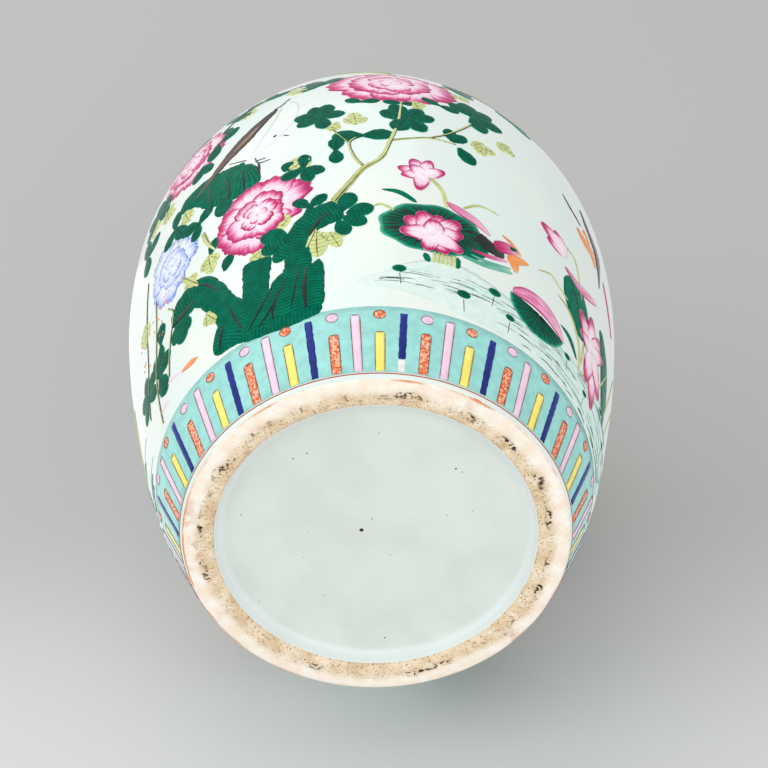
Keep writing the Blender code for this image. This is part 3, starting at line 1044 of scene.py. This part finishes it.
def lotus_leaves(site, dice):
    """The big leaf and the small ones, and the veins of all the leaves."""
    pads = Painting(site, "pads", 62)
    pads.disc(PAD_CENTRE, PAD_HALF_SIZES, ruffle=0.03, rings=9, spokes=72)
    pads.lobe((16, 93), 96, 27, 24, 0.03, 0.9)
    for angle, height, radius in SMALL_PADS:
        pads.disc((angle, height), (radius, radius * 0.72), 0.12, rings=4, spokes=20)
    for path in (((13, 76, 1.6), (14, 70, 1.6)), ((21, 78, 1.6), (21, 70, 1.6)),
                 ((3, 120, 0.5), (7, 118.5, 1.6), (11, 112, 1.2))):
        pads.ribbon(path, 0.05)
    pads.finish("pad")

    veins = []
    scale = math.radians(BODY.radius_at(94))
    for number in range(PAD_VEINS):
        heading = math.radians(number * 360 / PAD_VEINS + dice.uniform(-2, 2))
        start = dice.uniform(0.42, 0.6)
        middle = (start + PAD_VEIN_END) / 2
        veins.append([(PAD_CENTRE[0] + 27 * share * math.cos(heading) / scale,
                       PAD_CENTRE[1] + 17.5 * share * math.sin(heading), width)
                      for share, width in ((start, 0.2), (middle, 0.62), (PAD_VEIN_END, 0.4))])
    for angle, height, radius in SMALL_PADS:
        veins.append(((angle, height - radius * 0.6, 0.2),
                      (angle + dice.uniform(-0.5, 0.5), height - 7 - radius, 0.2)))
        veins.append(((angle - 1, height, 0.3), (angle + 1.2, height + 0.3, 0.2)))
    scale = math.radians(BODY.radius_at(66))
    for number in range(FAN_VEINS):
        heading = math.radians(187 + number * 14)
        over = 17.5 * math.cos(heading)
        down = 14 * math.sin(heading)
        across = (over + down * 0.17) / scale
        drop = down - over * 0.17
        veins.append([(FAN_CENTRE[0] + across * share, FAN_CENTRE[1] + drop * share, width)
                      for share, width in ((0, 0.1), (0.55, 0.3), (1, 0.22))])
    lifts = [0.15] * PAD_VEINS + [0.12, 0.26] * len(SMALL_PADS) + [0.42] * FAN_VEINS
    strokes(site, "pad_veins", "ink", veins, 63, wobble=0.25, lift=lifts)


def duck(site):
    """A mandarin duck swimming out from behind the lotus leaf: (part, paint, lifts, paths)."""
    parts = (
        ("neck", "ink", 0.06, [((25, 98, 5), (28.5, 95, 4.5), (33, 92, 2.5))]),
        ("head", "rose", 0.16, [((30, 97, 3.2), (33, 99.5, 4.2), (36.5, 101, 2.6))]),
        ("cheek", "leaf", 0.3, [((34, 101, 1.6), (36.5, 102, 1.2))]),
        ("crest", "orange", (0.2, 0.2, 0.18), [((32, 108, 0.4), (35, 105, 1.1), (37.5, 100, 0.7)),
                                               ((34, 92, 2.6), (36.5, 95.5, 3.2), (40, 98, 0.6)),
                                               ((35, 95, 2.4), (36, 90, 2.4), (36.5, 86, 0.8))]),
        ("wing", "teal", 0.1, [((22, 80.5, 0.9), (28, 80, 1.5), (35.5, 84, 1.1)),
                               ((24, 83.5, 0.6), (29, 83, 1), (35, 86.5, 0.6))]),
        ("side", "rose", 0.1, [((24, 87, 0.6), (29, 87.5, 1.4), (34, 90.5, 0.8))]),
    )
    for part, paint, lifts, paths in parts:
        strokes(site, "duck_" + part, paint, paths, 100, wobble=0.05, lift=lifts)


def lotus_pond(site):
    """The pond half of the painting, centred right of the site's turn."""
    dice = random.Random(site.seed + 61)
    water(site, dice)
    lotus_leaves(site, dice)
    lotus(site, "lotus_mid", (15, 89.5), ((-52, 17, 13), (-22, 17, 14), (10, 15, 13), (42, 18, 14),
                                          (70, 15, 12), (150, 13, 11), (196, 12, 11), (-88, 16, 12),
                                          (118, 16, 11), (0, 11, 12)), 64, 0.25)
    lotus(site, "lotus_high", (12.5, 135), ((-72, 13, 9), (-100, 11, 8), (-25, 13, 10), (15, 13, 9),
                                            (62, 12, 9), (190, 13, 9), (-45, 9, 8)), 65, 0.1)
    ribbons(site, "lotus_petals", "rose", 66,
            ((17.5, 117, 1), (21, 113, 2.6), (25, 109, 2.4), (29, 103, 0.8)),
            ((36, 72, 2.4), (40.5, 75.5, 4.6), (46, 75, 5), (50.5, 71, 3.4), (54, 65, 0.8)),
            ((51.5, 121, 1), (57, 118, 2.8), (62, 122, 2.6), (66.5, 127, 0.8)),
            ((70, 160, 0.5), (74.5, 148, 1.6), (79, 136, 0.5)),
            lift=0.16, tone=(0.52, 0.36), columns=11, step=1.2, rim=-0.8)
    lotus(site, "lotus_right", (66, 86), ((165, 34, 13), (-40, 22, 12), (-8, 24, 12), (22, 20, 12),
                                          (50, 18, 11), (185, 24, 11), (120, 14, 10), (-75, 13, 9),
                                          (140, 24, 11)), 67, 0.25)
    lotus(site, "lotus_bud", (52, 130.5), ((-90, 15, 10), (-42, 15, 10), (-66, 21, 11)), 71, 0.1)

    fans = Painting(site, "folded_leaves", 68)
    fans.disc(FAN_CENTRE, FAN_HALF_SIZES, 0.2, -10, rings=7, spokes=36, start=180, sweep=180)
    fans.ribbon(((53, 117, 5), (56, 109, 10.5), (58.5, 98, 10.5), (61.5, 84, 4)), 0.06, columns=11,
                step=1.2)
    fans.ribbon(((70, 116, 3), (75, 100, 7), (78, 82, 7), (80, 62, 2)), 0.02, columns=9, step=1.2)
    fans.ribbon(((52, 76, 0.6), (56, 74, 2), (60, 66, 1)), 0.02)
    fans.finish("leaf")

    stems = [
        ((12.5, 135, 0.5), (15, 131, 1), (17, 124, 1.1), (18, 113, 1.2)),
        ((1, 107, 0.3), (3, 108.5, 0.7), (6, 104, 0.6)),
        ((22, 116, 0.7), (26, 122.5, 0.7), (31, 122, 0.3)),
        ((50, 138, 0.6), (55, 136, 0.6), (57.5, 122, 0.6), (59, 110, 0.5)),
        ((43, 100, 0.3), (47, 104, 0.6), (50, 101, 0.6), (54, 98, 0.5)),
        ((50, 95, 0.3), (55, 91, 0.8), (60, 78, 0.8), (61, 64, 0.6)),
        ((62, 88, 0.6), (62, 74, 0.8), (61, 60, 0.6)), ((66, 88, 0.6), (65, 74, 0.8), (63, 60, 0.6)),
        ((70, 92, 0.5), (68, 76, 0.6), (65, 60, 0.5)), ((78, 100, 0.5), (74, 80, 0.6), (70, 60, 0.5)),
        ((86, 120, 0.5), (84, 100, 0.8), (80, 70, 0.6)), ((92, 110, 0.4), (88, 90, 0.7), (84, 66, 0.5)),
    ]
    stems += [((15.4 + number, 78.5, 0.75), (15.1 + number * 1.05, 70, 0.75)) for number in range(6)]
    strokes(site, "stems", "stem", stems, 69)
    duck(site)
    wing = (((59, 197, 0.8), (62, 185, 3), (66, 174, 4), (67, 160, 1.8), (67.5, 146, 0.4)),
            ((51, 188, 0.3), (54, 181, 0.9), (58, 176, 0.8)))
    strokes(site, "kingfisher_wing", "brown", wing, 110)
    breast = (((56, 169, 1), (59, 165, 3), (63, 165, 3.6), (65, 157, 1)),
              ((59, 176, 1.4), (62, 170, 1)))
    strokes(site, "kingfisher_breast", "orange", breast, 111, lift=(0.2, 0.22))


# ------------------------------------------------------------------ shoulder and cover

SPRAY_PAINTS = ("rose", "blue", "coral_petals")


def shoulder_sprays():
    """Small sprays between the scenes, high on the shoulder."""
    leaves = ((-7, 258, 12, (-100, -50, -150)), (7, 260, 12, (60, 110, 160)), (0, 272, 11, (-20, 30)))
    stems = (((-20, 244, 0.4), (-12, 252, 0.8), (-5, 258, 0.9)),
             ((5, 266, 0.8), (13, 270, 0.6), (20, 268, 0.4)))
    for number, turn in enumerate((58, 98, 238, 278, 150)):
        site = Site("shoulder_", turn, 300 + number)
        peony(site, f"peony_{number}", (0, 262), 14, 0, ("rose", "coral_petals", "blue")[number % 3])
        leaf_sprays(site, f"leaves_{number}", leaves, 20)
        strokes(site, f"stem_{number}", "stem", stems, 40)


def cover_painting():
    """A band round the cover's rim, little flowers up its side, and a spray over its dome."""
    bar_band("cover_band", "cover", COVER, COVER_BAND, 40, 4)
    leaves = ((-7, 339, 6.5, (-120, -60)), (7, 340, 6.5, (60, 130)), (-19, 342, 5.5, (-110, -30)),
              (20, 338, 5.5, (20, 100)))
    stems = (((-20, 341, 0.3), (-13, 337, 0.5), (-6, 340, 0.4)),
             ((6, 341, 0.4), (13, 342, 0.5), (21, 339, 0.3)))
    for number in range(6):
        site = Site("cover_side_", 60 * number + 25, 400 + number, COVER, "cover")
        peony(site, f"peony_{number}", (0, 340.5), 7.5, 0, SPRAY_PAINTS[number % 3])
        leaf_sprays(site, f"leaves_{number}", leaves, 10)
        strokes(site, f"stem_{number}", "stem", stems, 20)

    site = Site("cover_", 0, 430, COVER_DOME, "cover")
    stems = (((-44, 22, 0.5), (-26, 22, 1.1), (-8, 8, 1.5), (6, 4, 1.4), (22, 16, 1), (38, 22, 0.4)),
             ((4, 4, 1.2), (10, -12, 1), (22, -26, 0.8), (40, -24, 0.3)),
             ((-30, 23, 0.8), (-36, 34, 0.3)), ((14, -18, 0.7), (4, -34, 0.3)))
    strokes(site, "stems", "stem", stems, 0)
    leaves = ((-34, 14, 11, (-100, -50, -150)), (-14, 30, 12, (-40, 10, 60)), (34, 2, 12, (60, 110, 160)),
              (8, 34, 11, (-30, 30, 90)), (-6, -30, 12, (170, 220, 120)), (44, 24, 9, (20, 80)),
              (42, -22, 9, (60, 120)), (-40, -14, 11, (-90, -140)), (-38, 34, 9, (-60, 0)))
    leaf_sprays(site, "leaves", leaves, 1)
    pale = ((-46, 4, -80, 12), (24, 34, 30, 11), (46, 6, 90, 11), (-24, -36, 200, 11), (14, -40, 160, 11))
    pale_leaves(site, "pale_leaves", pale, 2)
    peony(site, "peony_rose", (-14, -4), 21, 3, "rose")
    peony(site, "peony_blue", (24, 20), 13, 4, "blue")
    peony(site, "peony_coral", (23, -24), 12, 5, "coral_petals")


# ------------------------------------------------------------------ stage, lights and camera

FLOOR_COLOUR = (222, 221, 219)
BACKDROP_COLOUR = (184, 183, 181)
# The backdrop's painted light: paler towards its low edge, as if more light fell there.
BACKDROP_PAINTED_LIGHT_COLOUR = (210, 210, 209)
STAGE_HALF_SIZE = 4.0
BACKDROP_GAP = 0.002

# Softboxes: name, place and side in metres, power in watts, and linear colour.
SOFTBOXES = (("key_softbox", (-0.8, -1.6, 1.5), 2.6, 16.5, (1.0, 0.99, 0.97)),
             ("side_softbox", (-1.7, -1.1, -0.5), 2.0, 13, (1, 1, 1)),
             ("low_softbox", (0.5, -0.9, -1.7), 1.8, 13, (1, 1, 1)),
             ("back_softbox", (-0.9, 1.7, 1.2), 2.6, 7, (1, 1, 1)))
LIGHTS_AIM = (0, 0, 0.17)
SKY_COLOUR = (0.96, 0.98, 1.0, 1.0)
SKY_STRENGTH = 0.76

# The camera looks up past this point on the axis, by its tilt from straight up. Metres.
CAMERA_TARGET = (0, 0, 0.1104)
CAMERA_DISTANCE = 1.104
CAMERA_TILT = 34.26
CAMERA_ROLL = -1.83
CAMERA_LENS = 100
AIM_RIGHT = 0.0053
AIM_UP = 0.0126


def stage_sheet(name, centre, facing, colour, painted_light_colour=None):
    """A one-sided sheet: it shows only from its front, stops no light, and may have painted light that
    makes it paler low down.
    """
    mesh = bpy.data.meshes.new(name)
    half = STAGE_HALF_SIZE
    mesh.from_pydata([(-half, -half, 0), (half, -half, 0), (half, half, 0), (-half, half, 0)], [],
                     [(0, 1, 2, 3)])
    sheet = placed(name, mesh)
    sheet.location = centre
    sheet.rotation_euler = Vector(facing).to_track_quat("Z", "Y").to_euler()
    coat = Finish(name, 0.9, 0.1)
    if painted_light_colour:
        # Painted light: paler towards the low edge, as if lit more there.
        up = coat.node("SeparateXYZ", {0: coat.place}, 1)
        colour = coat.blend(coat.fit(up, -0.02, 0.22), painted_light_colour, colour)
    mesh.materials.append(coat.done(colour))
    seen = coat.node("MixShader", {0: coat.node("NewGeometry", {}, "Backfacing"),
                                   1: coat.shader.outputs[0], 2: coat.node("BsdfTransparent", {})})
    coat.feed(coat.tree.nodes["Material Output"].inputs["Surface"], seen)
    sheet.visible_shadow = False
    sheet.visible_diffuse = False
    sheet.visible_glossy = False


def softbox(name, place, size, power, colour):
    lamp = bpy.data.lights.new(name, "AREA")
    lamp.shape = "SQUARE"
    lamp.size = size
    lamp.energy = power
    lamp.color = colour
    light = placed(name, lamp)
    light.location = place
    light.rotation_euler = (Vector(LIGHTS_AIM) - Vector(place)).to_track_quat("-Z", "Y").to_euler()
    light.visible_camera = False


def studio():
    """Pale floor, pale backdrop, soft light; the camera looks up at the foot of the jar."""
    widest = max(cad_box[1][0], cad_box[1][1])
    stage_sheet("floor", (0, 0, 0), (0, 0, 1), FLOOR_COLOUR)
    stage_sheet("backdrop", (0, widest + BACKDROP_GAP, 0), (0, -1, 0), BACKDROP_COLOUR,
                BACKDROP_PAINTED_LIGHT_COLOUR)
    scene = bpy.context.scene
    scene.world = scene.world or bpy.data.worlds.new("world")
    scene.world.use_nodes = True
    sky = scene.world.node_tree.nodes["Background"]
    sky.inputs["Color"].default_value = SKY_COLOUR
    sky.inputs["Strength"].default_value = SKY_STRENGTH
    for settings in SOFTBOXES:
        softbox(*settings)
    scene.view_settings.view_transform = "Standard"

    lens = bpy.data.cameras.new("camera")
    lens.lens = CAMERA_LENS
    lens.sensor_width = 36
    camera = placed("camera", lens)
    tilt = math.radians(CAMERA_TILT)
    ahead = Vector((0, math.sin(tilt), math.cos(tilt)))
    up = Vector((0, -math.cos(tilt), math.sin(tilt)))
    camera.location = Vector(CAMERA_TARGET) - ahead * CAMERA_DISTANCE
    aim = ahead + Vector((1, 0, 0)) * AIM_RIGHT + up * AIM_UP
    roll = Quaternion((0, 0, 1), math.radians(CAMERA_ROLL))
    camera.rotation_euler = (aim.to_track_quat("-Z", "Y") @ roll).to_euler()
    scene.camera = camera


porcelain_body()
porcelain_cover()
bar_band("foot_band", "jar", BODY, FOOT_BAND, 60, 8, worn=0)
bar_band("shoulder_band", "jar", BODY, SHOULDER_BAND, 48, 5)
for prefix, turn, seed, bloom in (("front_", 0, 100, "rose"), ("back_", 180, 200, "coral_petals")):
    peony_garden(Site(prefix, turn, seed), bloom)
    lotus_pond(Site(prefix, turn, seed))
shoulder_sprays()
cover_painting()
studio()
